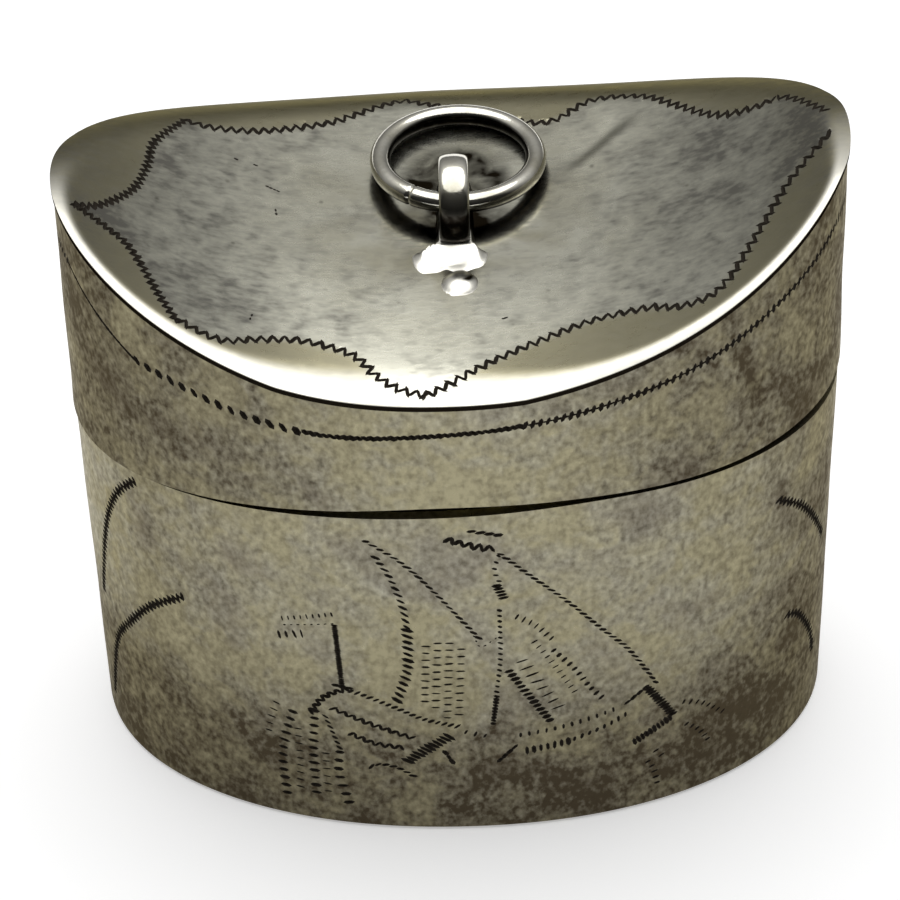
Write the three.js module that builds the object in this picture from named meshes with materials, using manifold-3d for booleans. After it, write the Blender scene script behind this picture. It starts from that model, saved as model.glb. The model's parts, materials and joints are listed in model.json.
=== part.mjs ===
// An oval silver scent box: a tapered body, a pull-off saddle lid that slides over an
// inner collar, a wire ring in an eye on top to pull it by, and the sponge that holds the scent.
// Millimetres, +Z up, front towards -Y, origin on the table under the middle of the base.

import * as THREE from 'three';
import Module from 'manifold-3d';
import { mergeVertices } from 'three/addons/utils/BufferGeometryUtils.js';

const wasm = await Module();
wasm.setup();

// Body: one strip of sheet bent to an oval, standing on a flat base
const BODY_LENGTH = 35.6; // outside at the rim, left to right
const BODY_DEPTH = 22.6; // outside at the rim, front to back
const BODY_HEIGHT = 19.72; // table to rim, mean of the two ends
const RIM_ARCH = 0.85; // rim stands higher by this in the middle of each long side
const RIM_LEAN = 0.45; // right end of the rim up, left end down
const OVAL_POWER = 2.09; // plan outline: 2 is an ellipse, more is squarer
const FOOT_TAPER = 0.4; // how far the wall has come in at its foot, each side
const WALL_SHEET = 0.5;
const BASE_SHEET = 0.5;
const BASE_EDGE_RADIUS = 0.35;

// Collar soldered inside the mouth, over which the lid slides
const COLLAR_SHEET = 0.45;
const COLLAR_SEAT = 3; // soldered length below the rim
const COLLAR_HEADROOM = 3.3; // left free between collar and lid top
const SOLDER_GAP = 0.05;

// Lid wall
const LID_FIT = 0.2; // sliding clearance round the collar
const LID_SHEET = 0.5;
const LID_SEAT_GAP = 0.05; // lid to rim at the left end, where it sits down
const LID_EDGE_ARCH = 0.4; // lower edge stands clear of the rim by this more in the middle
const LID_EDGE_LEAN = 0.4; // and by this more at the right end

// Lid top: a saddle, low across the middle, high at both ends, with its edge rolled over
const LID_MIDDLE_RISE = 7.39; // rim's ends to the lid's edge at its lowest
const LID_END_RISE = 5.23; // from there to the edge at the ends
const SADDLE_POWER = 2.45; // how late the lid sweeps up
const SADDLE_LOW_X = -0.74; // where the low line lies
const LID_LEAN = 0.17; // right end up, left end down
const TOP_SHEET = 0.5;
const LIP = 0.1; // rolled edge stands proud of the lid wall
const ROLL_WIDTH = 2.6;
const ROLL_DROP = 0.9; // from the face of the saddle down to its edge

// Pull ring, its eye and the solder mound that the eye stands on
const EYE_X = 0.15;
const EYE_Y = 0.57;
const EYE_HEIGHT = 1.2; // centre of the eye above the face of the saddle
const EYE_HOLE_RADIUS = 1.3;
const EYE_STRAP = 0.87; // thickness of its strap along the middle
const EYE_STRAP_EDGE = 0.5; // thickness at the strap's rounded edges
const EYE_WIDTH = 1.38;
const RING_DIAMETER = 7.18; // middle of the wire to middle of the wire
const RING_WIRE = 0.98;
const RING_SAG = 0.1; // wire lies this much below the centre of the eye
const RING_REST_GAP = 0.06;
const RING_SHIFT = 0.24; // ring hangs this far to the right in its eye
const MOUND_HEIGHT = 0.4;
const MOUND_WIDTH = 5.2; // at its foot, left to right
const MOUND_LENGTH = 8.3; // at its foot, front to back
const MOUND_TOP_MARGIN = 0.35; // flat top beyond the feet of the eye
const MOUND_FOOT_SHIFT = 1.12; // foot spreads towards the front of the eye

// Scent sponge
const SPONGE_HEIGHT = 9;
const SPONGE_CLEARANCE = 0.5; // to the inside of the wall's foot
const SPONGE_REST_GAP = 0.1;
const SPONGE_EDGE_RADIUS = 1.6;
const SPONGE_CROWN = 0.5;

// Facets
const OVAL_FACETS = 80;
const ROLL_STEPS = 4;
const TOP_RINGS = [0.86, 0.68, 0.48, 0.26];
const WALL_LEVELS = 4;
const EDGE_STEPS = 3;
const MOUND_FACETS = 40;
const STRAP_STEPS = 8;
const EYE_FACETS = 40;
const WIRE_FACETS = 12;
const RING_FACETS = 48;

const bodyHalf = { length: BODY_LENGTH / 2, depth: BODY_DEPTH / 2 };
const footHalf = inset(bodyHalf, FOOT_TAPER);
const seatTaper = (FOOT_TAPER * COLLAR_SEAT) / (BODY_HEIGHT - BASE_SHEET);
const collarHalf = inset(bodyHalf, WALL_SHEET + seatTaper + SOLDER_GAP);
const lidInsideHalf = inset(collarHalf, -LID_FIT);
const lidHalf = inset(lidInsideHalf, -LID_SHEET);
const topHalf = inset(lidHalf, -LIP);
const eyeOuterRadius = EYE_HOLE_RADIUS + EYE_STRAP;
const moundFootY = EYE_Y - MOUND_FOOT_SHIFT;
const moundTop = saddle(EYE_X) + SOLDER_GAP + MOUND_HEIGHT;
const eyeCentre = saddle(EYE_X) + EYE_HEIGHT;

function inset(half, distance) {
  return { length: half.length - distance, depth: half.depth - distance };
}

function signedPower(value, power) {
  return Math.sign(value) * Math.abs(value) ** power;
}

// Share of an arch over the whole length, 1 in the middle and 0 at the ends
function arch(x) {
  return 1 - Math.min(1, (x / topHalf.length) ** 2);
}

// Height of the rim over its ends
function rim(x) {
  return RIM_ARCH * arch(x) + (RIM_LEAN * x) / topHalf.length;
}

// Height of the lid's edge over the ends of the rim, the same in front and behind
function lidEdge(x) {
  const reach = Math.abs((x - SADDLE_LOW_X) / topHalf.length);
  return LID_MIDDLE_RISE + LID_END_RISE * reach ** SADDLE_POWER + (LID_LEAN * x) / topHalf.length;
}

// Height of the lid's upper face inside the rolled edge
function saddle(x) {
  return lidEdge(x) + ROLL_DROP;
}

// One oval of points, at a height that may follow x
function oval(half, heightAt, facets = OVAL_FACETS, power = OVAL_POWER, centre = { x: 0, y: 0 }) {
  return Array.from({ length: facets }, (_, index) => {
    const angle = (2 * Math.PI * index) / facets;
    const x = centre.x + half.length * signedPower(Math.cos(angle), 2 / power);
    const y = centre.y + half.depth * signedPower(Math.sin(angle), 2 / power);
    return new THREE.Vector3(x, y, heightAt(x));
  });
}

// A closed skin over ovals: up the outside, then down the inside and back to the start,
// or from a first point under the middle to a last point on top of it.
function loft(ovals, firstPoint, lastPoint) {
  const facets = ovals[0].length;
  const points = ovals.flat();
  const faces = [];
  const closed = firstPoint === undefined;
  const bands = closed ? ovals.length : ovals.length - 1;
  for (let band = 0; band < bands; band += 1) {
    const lower = band * facets;
    const upper = ((band + 1) % ovals.length) * facets;
    for (let side = 0; side < facets; side += 1) {
      const next = (side + 1) % facets;
      faces.push(lower + side, lower + next, upper + next);
      faces.push(lower + side, upper + next, upper + side);
    }
  }
  if (!closed) {
    const first = points.push(firstPoint) - 1;
    const last = points.push(lastPoint) - 1;
    const lastOval = (ovals.length - 1) * facets;
    for (let side = 0; side < facets; side += 1) {
      const next = (side + 1) % facets;
      faces.push(first, next, side);
      faces.push(last, lastOval + side, lastOval + next);
    }
  }
  const geometry = new THREE.BufferGeometry().setFromPoints(points);
  geometry.setIndex(faces);
  return geometry;
}

// Quarter turns from 0 to 1, as a share of the width and of the height
function quarter(steps) {
  return Array.from({ length: steps + 1 }, (_, step) => {
    const angle = (Math.PI / 2) * (step / steps);
    return { across: Math.sin(angle), down: 1 - Math.cos(angle) };
  });
}

function solid(geometry) {
  const bare = geometry.clone();
  bare.deleteAttribute('normal');
  bare.deleteAttribute('uv');
  const merged = mergeVertices(bare);
  const vertProperties = new Float32Array(merged.attributes.position.array);
  const triVerts = new Uint32Array(merged.index.array);
  return new wasm.Manifold(new wasm.Mesh({ numProp: 3, vertProperties, triVerts }));
}

function cut(geometry, tool) {
  const mesh = solid(geometry).subtract(solid(tool)).getMesh();
  const result = new THREE.BufferGeometry();
  result.setAttribute('position', new THREE.BufferAttribute(mesh.vertProperties, 3));
  result.setIndex(new THREE.BufferAttribute(mesh.triVerts, 1));
  return result;
}

function basePlate() {
  const edge = quarter(EDGE_STEPS).map(({ across, down }) => {
    const half = inset(footHalf, BASE_EDGE_RADIUS * (1 - across));
    return oval(half, () => BASE_EDGE_RADIUS * down);
  });
  const top = oval(footHalf, () => BASE_SHEET);
  return loft([...edge, top], new THREE.Vector3(), new THREE.Vector3(0, 0, BASE_SHEET));
}

function bodyWall() {
  const levels = Array.from({ length: WALL_LEVELS + 1 }, (_, level) => level / WALL_LEVELS);
  const at = (share, thickness) => {
    const half = inset(bodyHalf, FOOT_TAPER * (1 - share) + thickness);
    return oval(half, (x) => THREE.MathUtils.lerp(BASE_SHEET, BODY_HEIGHT + rim(x), share));
  };
  const outside = levels.map((share) => at(share, 0));
  const inside = levels.map((share) => at(share, WALL_SHEET)).reverse();
  return loft([...outside, ...inside]);
}

function mouthCollar() {
  const bottom = BODY_HEIGHT - COLLAR_SEAT;
  const top = BODY_HEIGHT + LID_MIDDLE_RISE - COLLAR_HEADROOM;
  const inside = inset(collarHalf, COLLAR_SHEET);
  return loft([
    oval(collarHalf, () => bottom),
    oval(collarHalf, () => top),
    oval(inside, () => top),
    oval(inside, () => bottom),
  ]);
}

function lidWall() {
  const toRight = (x) => (x / topHalf.length + 1) / 2;
  const clear = (x) => LID_SEAT_GAP + LID_EDGE_ARCH * arch(x) + LID_EDGE_LEAN * toRight(x);
  const lower = (x) => rim(x) + clear(x);
  const upper = (x) => lidEdge(x) - SOLDER_GAP;
  const middle = (x) => (lower(x) + upper(x)) / 2;
  return loft([
    oval(lidHalf, lower),
    oval(lidHalf, middle),
    oval(lidHalf, upper),
    oval(lidInsideHalf, upper),
    oval(lidInsideHalf, middle),
    oval(lidInsideHalf, lower),
  ]);
}

// The saddle sheet: its underside from the middle out, the rolled edge, and its upper face back
function lidTop() {
  const rollHalf = inset(topHalf, ROLL_WIDTH);
  const flat = (share, depth) => {
    const half = { length: rollHalf.length * share, depth: rollHalf.depth * share };
    return oval(half, (x) => saddle(x) - depth);
  };
  const roll = (width, drop, sheet) => quarter(ROLL_STEPS).map(({ across, down }) => {
    const half = inset(rollHalf, -width * across);
    return oval(half, (x) => saddle(x) - sheet - drop * down);
  });
  const under = [...TOP_RINGS].reverse().map((share) => flat(share, TOP_SHEET));
  const over = TOP_RINGS.map((share) => flat(share, 0));
  return loft(
    [
      ...under,
      ...roll(ROLL_WIDTH - TOP_SHEET, ROLL_DROP - TOP_SHEET, TOP_SHEET),
      ...roll(ROLL_WIDTH, ROLL_DROP, 0).reverse(),
      ...over,
    ],
    new THREE.Vector3(0, 0, saddle(0) - TOP_SHEET),
    new THREE.Vector3(0, 0, saddle(0)),
  );
}

// Low mound that spreads forward from under the eye, flat on top where the eye stands
function eyeMound() {
  const topLength = eyeOuterRadius + MOUND_TOP_MARGIN;
  const topWidth = EYE_WIDTH / 2 + MOUND_TOP_MARGIN * 2;
  const level = (share) => {
    const spread = 1 - share * share;
    const half = {
      length: THREE.MathUtils.lerp(topWidth, MOUND_WIDTH / 2, spread),
      depth: THREE.MathUtils.lerp(topLength, MOUND_LENGTH / 2, spread),
    };
    const centre = { x: EYE_X, y: THREE.MathUtils.lerp(EYE_Y, moundFootY, spread) };
    const height = (x) => THREE.MathUtils.lerp(saddle(x) + SOLDER_GAP, moundTop, share);
    return oval(half, height, MOUND_FACETS, 2, centre);
  };
  return loft(
    [level(0), level(0.35), level(0.65), level(0.85), level(1)],
    new THREE.Vector3(EYE_X, moundFootY, saddle(EYE_X) + SOLDER_GAP),
    new THREE.Vector3(EYE_X, EYE_Y, moundTop),
  );
}

// A flat strap with rounded edges bent to an eye, cut off flat where it stands on the mound
function ringEye() {
  const crown = Array.from({ length: STRAP_STEPS + 1 }, (_, step) => {
    const angle = Math.PI * (step / STRAP_STEPS);
    const rise = (EYE_STRAP - EYE_STRAP_EDGE) * signedPower(Math.sin(angle), 0.5);
    const across = (EYE_WIDTH / 2) * -Math.cos(angle);
    return new THREE.Vector2(EYE_HOLE_RADIUS + EYE_STRAP_EDGE + rise, across);
  });
  const start = new THREE.Vector2(EYE_HOLE_RADIUS, -EYE_WIDTH / 2);
  const end = new THREE.Vector2(EYE_HOLE_RADIUS, EYE_WIDTH / 2);
  const loop = new THREE.LatheGeometry([start, ...crown, end, start.clone()], EYE_FACETS);
  loop.rotateZ(-Math.PI / 2);
  loop.translate(EYE_X, EYE_Y, eyeCentre);
  const below = new THREE.BoxGeometry(EYE_WIDTH * 2, eyeOuterRadius * 3, eyeOuterRadius * 2);
  below.translate(EYE_X, EYE_Y, moundTop - eyeOuterRadius);
  return cut(loop, below);
}

function scentSponge() {
  const half = inset(footHalf, WALL_SHEET + SPONGE_CLEARANCE);
  const bottom = BASE_SHEET + SPONGE_REST_GAP;
  const edge = (sign) => quarter(EDGE_STEPS).map(({ across, down }) => {
    const fall = SPONGE_EDGE_RADIUS * down;
    const height = sign > 0 ? bottom + SPONGE_HEIGHT - SPONGE_CROWN - fall : bottom + fall;
    return oval(inset(half, SPONGE_EDGE_RADIUS * (1 - across)), () => height);
  });
  return loft(
    [...edge(-1), ...edge(1).reverse()],
    new THREE.Vector3(0, 0, bottom),
    new THREE.Vector3(0, 0, bottom + SPONGE_HEIGHT),
  );
}

function material(color, roughness, metalness) {
  return new THREE.MeshStandardMaterial({ color, roughness, metalness });
}

function piece(name, geometry, finish) {
  const mesh = new THREE.Mesh(geometry, finish);
  mesh.name = name;
  return mesh;
}

const bodySilver = material(0x8b8873, 0.38, 1);
const lidSilver = material(0x8f8c78, 0.34, 1);
const darkSilver = material(0x5d594c, 0.5, 1);
const wireSilver = material(0xb4b0a2, 0.2, 1);
const spongeTan = material(0xb08d57, 0.95, 0);

const box = new THREE.Group();
box.add(piece('base_plate', basePlate(), bodySilver));
box.add(piece('body_wall', bodyWall(), bodySilver));
box.add(piece('mouth_collar', mouthCollar(), darkSilver));
box.add(piece('scent_sponge', scentSponge(), spongeTan));

const lid = new THREE.Group();
lid.position.z = BODY_HEIGHT;
lid.add(piece('lid_wall', lidWall(), lidSilver));
lid.add(piece('lid_top', lidTop(), lidSilver));
lid.add(piece('eye_mound', eyeMound(), lidSilver));
lid.add(piece('ring_eye', ringEye(), wireSilver));

// The ring lies back from the eye until its far side comes down on the lid
const ringPivot = new THREE.Group();
ringPivot.position.set(EYE_X, EYE_Y, eyeCentre - RING_SAG);
const ringFall = EYE_HEIGHT - RING_SAG - RING_WIRE / 2 - RING_REST_GAP;
ringPivot.rotation.x = -Math.asin(ringFall / RING_DIAMETER);
const ringShape = new THREE.TorusGeometry(RING_DIAMETER / 2, RING_WIRE / 2, WIRE_FACETS, RING_FACETS);
const ring = piece('pull_ring', ringShape, wireSilver);
ring.position.set(RING_SHIFT, RING_DIAMETER / 2, 0);
ringPivot.add(ring);
lid.add(ringPivot);

const scentBox = new THREE.Group();
scentBox.add(box, lid);

export default scentBox;
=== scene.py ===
"""Looks of an oval silver scent box: tarnished sheet, graver work, a pull ring and a sponge."""

import json
import math
from typing import NamedTuple

import bpy
import numpy as np
from mathutils import Matrix, Vector, noise


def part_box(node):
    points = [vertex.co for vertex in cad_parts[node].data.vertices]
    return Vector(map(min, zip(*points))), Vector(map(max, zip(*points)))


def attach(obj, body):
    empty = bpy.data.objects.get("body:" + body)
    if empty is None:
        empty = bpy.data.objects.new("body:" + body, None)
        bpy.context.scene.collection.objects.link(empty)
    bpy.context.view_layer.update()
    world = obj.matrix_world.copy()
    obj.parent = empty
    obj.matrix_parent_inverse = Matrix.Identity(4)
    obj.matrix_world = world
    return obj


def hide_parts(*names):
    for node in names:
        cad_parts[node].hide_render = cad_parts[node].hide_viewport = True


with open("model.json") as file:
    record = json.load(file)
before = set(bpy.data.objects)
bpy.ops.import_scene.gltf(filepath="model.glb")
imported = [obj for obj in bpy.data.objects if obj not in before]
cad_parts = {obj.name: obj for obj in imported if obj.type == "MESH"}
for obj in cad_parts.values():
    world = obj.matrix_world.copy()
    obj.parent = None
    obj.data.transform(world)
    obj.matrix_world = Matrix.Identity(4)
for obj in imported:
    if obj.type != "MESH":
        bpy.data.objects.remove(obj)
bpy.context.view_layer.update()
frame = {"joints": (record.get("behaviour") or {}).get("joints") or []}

bl_info = {
    "name": "Silver Scent Box",
    "version": (1, 0, 0),
    "blender": (4, 5, 0),
    "location": "View3D > Sidebar > Scent Box",
    "description": "Builds the looks of an engraved oval scent box around its packed model",
    "category": "Object",
}

MM = 0.001
TURN = 2 * math.pi

BODY_LOW, BODY_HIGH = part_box("body_wall")
BASE_LOW, BASE_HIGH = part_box("base_plate")
COLLAR_LOW, COLLAR_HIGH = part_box("mouth_collar")
_, BAND_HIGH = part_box("lid_wall")
TOP_LOW, TOP_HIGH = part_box("lid_top")
MOUND_LOW, MOUND_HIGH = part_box("eye_mound")
EYE_LOW, EYE_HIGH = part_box("ring_eye")
RING_LOW, RING_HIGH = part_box("pull_ring")
SPONGE_LOW, SPONGE_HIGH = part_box("scent_sponge")
RING_PIVOT = Vector(next(j["pos_m"] for j in frame["joints"] if j["name"] == "ring_swing"))

# Stage
SUN_STRENGTH = 1.63
SUN_ANGLE = math.radians(70)
SUN_TILT = math.radians(-6)
WORLD_LEVELS = ((0.0, 0.16), (0.3, 0.25), (0.55, 0.42), (0.67, 0.6), (0.76, 0.9), (0.85, 0.9),
                (1.0, 0.5))
WORLD_SCREEN = ((0.3, 0.07), (0.62, 1.0))
FLOOR_HALF = 10.0
FLOOR_GLOW = 0.39
CAMERA_ELEVATION = 42.0
CAMERA_ROLL = -1.641
CAMERA_DISTANCE = 236.624 * MM
CAMERA_TARGET = (0.0, 0.0, 14.0 * MM)
CAMERA_LENS = 199.65
CAMERA_SHIFT = (-0.00907, 0.00913)

# Tint of the tarnished metal at grazing angles; the foot's dark band, tarnish with painted shade; and
# stops of darkness from the middle to the ends
EDGE_TINT = (0.7, 0.66, 0.56)
LID_EDGE_TINT = (0.35, 0.33, 0.26)
DARK_FOOT = 12.0 * MM
BODY_ENDS = ((0.0, 0.24), (0.5, 0.3), (0.75, 0.44), (1.0, 0.7))
BAND_ENDS = ((0.0, 0.24), (0.2, 0.3), (0.55, 0.62), (1.0, 0.82))

# Places on the sheet; pairs, and widths and reach of the crease and the dint, are in millimetres
RIM_SWELL_AT = 6.0 * MM
RIM_SWELL_REACH = 4.5 * MM
SEAM_GAPS = ((-18.0, 0.04), (-15.5, 0.06), (-13.0, 0.15), (-10.0, 0.27), (-6.0, 0.45), (-1.0, 0.68),
             (4.5, 0.42), (8.5, 0.3), (13.0, 0.38), (16.7, 0.7), (18.0, 0.75))
BUFF_REACH = 6.0 * MM
ROLL_AT = -2.5 * MM
ROLL_REACH = 6.5 * MM
ROLL_SLOPE = 0.76
LID_SOFTNESS = 0.08 * MM
CROWN_AT = -4.0 * MM
CROWN_REACH = 7.0 * MM
BORDER_SOFTNESS = 0.25 * MM
# Painted shade under the lid's lip: how far in and how high it reaches
LIP_SHADE_INSET = 0.02 * MM
LIP_SHADE_FADE = 0.03 * MM
# Painted shade and reflection round the eye: how far it reaches before and beside the eye, and the spot
# on the solder drop
PAINTED_SHADE_WIDTH = 3.0 * MM
PAINTED_SHADE_LENGTH = 1.9 * MM
PAINTED_SHADE_SPOT = 0.6 * MM
CREASE_FROM = (9.0, 7.0)
CREASE_TO = (5.0, 3.0)
CREASE_DEPTH = 0.08 * MM
CREASE_WIDTH = 0.25
CREASE_REACH = 1.6
DINT_FROM = (12.5, 28.0)
DINT_TO = (13.9, 22.6)
DINT_DEPTH = 0.09 * MM
DINT_WIDTH = 0.32

# Small parts
COLLAR_SHEET = 0.45 * MM
COLLAR_EDGE = 0.12 * MM
SOLDER_JOINT = 0.05 * MM
DROP_RADIUS = 0.85 * MM
DROP_HEIGHT = 0.34 * MM
SOLDER_BEFORE = 1.6 * MM
SOLDER_BESIDE = 0.15 * MM
SOLDER_HALF_WIDTH = 1.2 * MM
SOLDER_LUMPS = 0.1 * MM
SOLDER_LUMP_SPAN = 0.9 * MM
MOUND_SINK = 0.03 * MM
EYE_STRAP = 0.87 * MM
EYE_STRAP_EDGE = 0.5 * MM
RING_JOINT = math.radians(36)
SPONGE_EDGE_RADIUS = 1.6 * MM
SPONGE_CROWN = 0.5 * MM

# Fineness of the meshes
WALL_SIDES = 420
BODY_ROWS = 49
BAND_ROWS = 25
INSIDE_ROWS = 5
FINE_SIDES = 300
LID_SIDES = 360
MOUND_SIDES = 160
MOUND_RINGS = 80
EYE_RINGS = 97
RING_STEPS = 400
WIRE_SIDES = 40
SPONGE_SIDES = 260

# Seeds of the dents and of the hand's unevenness
BODY_DENTS = 1
BAND_DENTS = 2
LID_DENTS = 4
SOLDER_DENTS = 9
BAND_SEED = 20
BODY_SEED = 40
BORDER_SEED = 60
NICK_SEED = 80


def length_property(name, description, millimetres):
    return bpy.props.FloatProperty(
        name=name, description=description, default=millimetres * MM, unit="LENGTH")


def number_property(name, description, number):
    return bpy.props.FloatProperty(name=name, description=description, default=number)


def colour_property(name, description, *colour):
    return bpy.props.FloatVectorProperty(
        name=name, description=description, default=colour, subtype="COLOR", size=3)


class BoxShape(bpy.types.PropertyGroup):
    """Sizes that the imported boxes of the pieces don't give."""

    oval_power: number_property("Oval power", "Squareness of the plan, 2 is an ellipse", 2.09)
    foot_taper: length_property("Foot taper", "How far the wall has come in at its foot", 0.4)
    sheet: length_property("Sheet", "Thickness of the silver sheet", 0.5)
    rim_arch: length_property("Rim arch", "Rise of the rim in the middle of each long side", 0.85)
    rim_lean: length_property("Rim lean", "Right end of the rim up, left end down", 0.45)
    rim_swell: length_property("Rim swell", "A high place of the rim, right of the middle", 0.18)
    saddle_rise: length_property("Saddle rise", "From the low line up to the ends of the lid", 5.23)
    saddle_power: number_property("Saddle power", "How late the lid sweeps up to its ends", 2.45)
    saddle_low: length_property("Low line", "Where the lid is lowest", -0.74)
    lid_lean: length_property("Lid lean", "Right end up, left end down", 0.17)
    roll_width: length_property("Roll width", "Width of the lid's rolled edge", 2.6)
    roll_drop: length_property("Roll drop", "Fall of the lid's rolled edge", 0.9)
    roll_share: number_property("Roll beside", "Share of its width left at the sides", 0.22)
    brim: length_property("Brim", "Height of the lid's upright outer edge", 0.31)
    crown: length_property("Crown", "How far the lid's face falls towards its front", 0.5)
    wire: length_property("Ring wire", "Thickness of the ring's wire", 0.98)
    dent: length_property("Dents", "Depth of the hammer dents in the sheet", 0.05)
    dent_span: length_property("Dent span", "Width of one dent", 5.0)


class GraverCut(bpy.types.PropertyGroup):
    """The rocking graver's hand."""

    weight: number_property("Weight", "Width of every stroke against the drawn width", 1.0)
    depth: number_property("Depth", "Depth of a stroke against its width", 0.42)
    uneven: number_property("Uneven", "How much strokes differ by hand", 0.22)


class SilverFinish(bpy.types.PropertyGroup):
    """Colours of the metal, the sponge and the stage."""

    rubbed: colour_property("Rubbed silver", "Bright worn edges", 0.85, 0.83, 0.75)
    olive: colour_property("Olive tarnish", "Main tone of the old sheet", 0.315, 0.288, 0.185)
    grey: colour_property("Grey tarnish", "Cooler tone, mostly on the lid", 0.56, 0.55, 0.46)
    # Brown goes into the patches, the darker ends and the foot, where it also paints shade
    brown: colour_property("Brown tarnish", "Dark patches, foot and ends", 0.066, 0.052, 0.033)
    mauve: colour_property("Mauve tarnish", "Broad patches on the walls", 0.16, 0.136, 0.112)
    shade: colour_property("Shade", "Grey clouds on the lid", 0.16, 0.155, 0.135)
    # The cut colour also paints shade under the lid's lip, round the eye and on the lower parts of the
    # eye and the ring
    cut: colour_property("Cut patina", "Dirt in the engraved cuts and seams", 0.014, 0.011, 0.008)
    sponge: colour_property("Sponge", "Dry natural sponge", 0.56, 0.37, 0.16)
    floor: colour_property("Floor", "Pale floor", 0.93, 0.93, 0.93)


# Graphs: node trees written as expressions


class Value:
    """A node's output socket that takes part in Python arithmetic."""

    def __init__(self, graph, socket):
        self.graph = graph
        self.socket = socket

    def __add__(self, other):
        return self.graph.reckon("ADD", self, other)

    def __radd__(self, other):
        return self.graph.reckon("ADD", other, self)

    def __sub__(self, other):
        return self.graph.reckon("SUBTRACT", self, other)

    def __rsub__(self, other):
        return self.graph.reckon("SUBTRACT", other, self)

    def __mul__(self, other):
        return self.graph.reckon("MULTIPLY", self, other)

    def __truediv__(self, other):
        return self.graph.reckon("DIVIDE", self, other)

    def __mod__(self, other):
        return self.graph.reckon("FLOORED_MODULO", self, other)


class Graph:
    """A node tree, with one way to add a node."""

    def __init__(self, tree):
        self.tree = tree

    def node(self, kind, sockets=None, output=0, **settings):
        """Adds a node, sets it up, fills its sockets and gives one of its outputs."""
        made = self.tree.nodes.new(kind)
        for name, setting in settings.items():
            setattr(made, name, setting)
        for key, content in (sockets or {}).items():
            self.fill(made.inputs[key], content)
        return Value(self, made.outputs[output])

    def fill(self, socket, content):
        """Links a value to an input socket, or sets the socket to a plain number or colour."""
        if isinstance(content, Value):
            self.tree.links.new(content.socket, socket)
        else:
            socket.default_value = content

    def reckon(self, operation, *numbers):
        return self.node("ShaderNodeMath", dict(enumerate(numbers)), operation=operation)

    def clamp(self, value):
        return self.node("ShaderNodeClamp", {0: value})

    def mix(self, share, first, second):
        """A colour between two colours."""
        first, second = (tone if isinstance(tone, Value) else (*tone, 1.0) for tone in (first, second))
        return self.node("ShaderNodeMix", {0: share, 6: first, 7: second}, 2, data_type="RGBA")

    def ramp(self, value, *stops):
        """A value redrawn through stops of place and level."""
        drawn = self.node("ShaderNodeValToRGB", {0: value})
        elements = drawn.socket.node.color_ramp.elements
        while len(elements) < len(stops):
            elements.new(1.0)
        for element, (at, level) in zip(elements, stops):
            element.position = at
            element.color = (level, level, level, 1.0)
        return drawn


class Finish(Graph):
    """A metal or sponge material on Object coordinates."""

    def __init__(self, name):
        self.material = bpy.data.materials.new(name)
        self.material.use_nodes = True
        super().__init__(self.material.node_tree)
        self.shader = self.tree.nodes["Principled BSDF"]
        self.place = self.node("ShaderNodeTexCoord", output=3)

    def set(self, name, content):
        self.fill(self.shader.inputs[name], content)

    def stretched(self, stretch):
        """The place, stretched for streaks."""
        return self.node("ShaderNodeMapping", {0: self.place, 3: stretch})

    def noise(self, scale, detail, place=None, warp=0.0):
        sockets = {"Vector": place or self.place, "Scale": scale, "Detail": detail, "Distortion": warp}
        return self.node("ShaderNodeTexNoise", sockets)

    def along(self):
        """Place from left to right."""
        return self.node("ShaderNodeSeparateXYZ", {0: self.place})

    def across(self):
        """Distance from the middle, left or right."""
        return self.reckon("ABSOLUTE", self.along())

    def height(self):
        return self.node("ShaderNodeSeparateXYZ", {0: self.place}, 2)

    def metal(self, tone, rough):
        self.set("Base Color", tone)
        self.set("Metallic", 1.0)
        self.set("Roughness", self.clamp(rough))

    def attribute(self, name):
        return self.node("ShaderNodeAttribute", output=2, attribute_name=name)

    def bump(self, height, distance, strength=1.0):
        sockets = {"Strength": strength, "Distance": distance, "Height": height}
        self.set("Normal", self.node("ShaderNodeBump", sockets))


def mottling(finish, stretch):
    """Fine, middle and broad mottling around 0, the fine one drawn out to streaks."""
    fine = finish.noise(3400.0, 5.0, finish.stretched(stretch)) - 0.5
    middle = finish.noise(900.0, 6.0, warp=0.6) - 0.5
    broad = finish.noise(230.0, 5.0, warp=0.5) - 0.5
    return fine, middle, broad


def pits(finish):
    """Scattered small dark pits, 0 to 1."""
    far = finish.node("ShaderNodeTexVoronoi", {"Vector": finish.place, "Scale": 600.0})
    spots = finish.ramp(far, (0.03, 1.0), (0.10, 0.0))
    return spots * finish.ramp(finish.noise(240.0, 2.0), (0.50, 0.0), (0.62, 1.0))


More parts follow.
